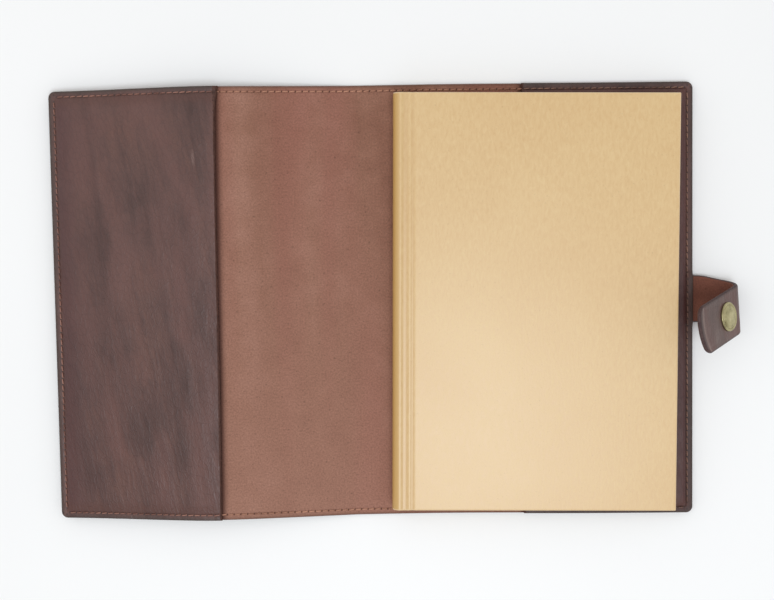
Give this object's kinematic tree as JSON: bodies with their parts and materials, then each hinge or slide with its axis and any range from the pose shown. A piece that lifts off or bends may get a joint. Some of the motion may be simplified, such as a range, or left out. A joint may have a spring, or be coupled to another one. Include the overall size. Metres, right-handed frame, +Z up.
{
  "type": "notebook cover",
  "caption": "Open leather notebook cover with two sewn pockets, a hard-bound notebook held in one, and a fold-over strap with a snap fastener at the fore-edge.",
  "frame": {"origin": "centre of the spine strip's outer face, on the surface that the open cover lies on", "axes": "+X across the open cover towards the back cover's fore-edge and the strap, +Y towards the head of the cover, +Z up out of the open inside"},
  "size_m": [0.3599, 0.228, 0.0447],
  "materials": {
    "cover_leather": "matte",
    "pocket_leather": "satin",
    "strap_leather": "satin",
    "thread": "waxed",
    "kraft_board": "matte",
    "paper": "matte",
    "antique_brass": "antique",
    "spring_wire": "satin"
  },
  "bodies": {
    "back_cover": {"back_panel": "cover_leather", "back_pocket": "pocket_leather", "back_pocket_stitching": "thread", "back_panel_stitching": "thread", "strap_tongue": "strap_leather", "strap_tack_stitching": "thread", "notebook_back_board": "kraft_board", "notebook_front_board": "kraft_board", "notebook_spine": "kraft_board", "notebook_signatures": "paper", "notebook_back_endpaper": "paper", "notebook_front_endpaper": "paper"},
    "spine": {"spine_panel": "cover_leather", "spine_stitching": "thread"},
    "front_inner": {"front_inner_panel": "cover_leather", "front_inner_stitching": "thread"},
    "front_outer": {"front_outer_panel": "cover_leather", "front_pocket": "pocket_leather", "front_pocket_stitching": "thread", "snap_stud": "antique_brass", "snap_stud_rivet": "antique_brass"},
    "strap_web": {"strap_web": "strap_leather"},
    "strap_tab": {"strap_tab": "strap_leather", "snap_cap": "antique_brass", "snap_socket": "antique_brass", "snap_spring": "spring_wire"}
  },
  "joints": [
    {"name": "spine_fold", "type": "hinge", "parent": "back_cover", "child": "spine", "pos_m": [0.0087, 0, 0.002], "axis": [0, 1, 0], "range_deg": [0, 90]},
    {"name": "front_fold", "type": "hinge", "parent": "spine", "child": "front_inner", "pos_m": [-0.0087, 0, 0.002], "axis": [0, 1, 0], "range_deg": [0, 82.8]},
    {"name": "front_flex", "type": "hinge", "parent": "front_inner", "child": "front_outer", "pos_m": [-0.07909, 0, 0.00888], "axis": [0, 1, 0], "range_deg": [0, 11.4]},
    {"name": "strap_root", "type": "hinge", "parent": "back_cover", "child": "strap_web", "pos_m": [0.171, 0, 0.0031], "axis": [-0.0027, -0.9983, 0.0586], "range_deg": [0, 67.8]},
    {"name": "strap_fold", "type": "hinge", "parent": "strap_web", "child": "strap_tab", "pos_m": [0.1847, -0.00291, 0.00508], "axis": [-0.1533, 0.8954, -0.4181], "range_deg": [0, 24.2]}
  ],
  "couplings": [
    {"joint": "front_flex", "follows": "front_fold", "ratio": 0.13768},
    {"joint": "strap_fold", "follows": "strap_root", "ratio": 0.35556}
  ]
}
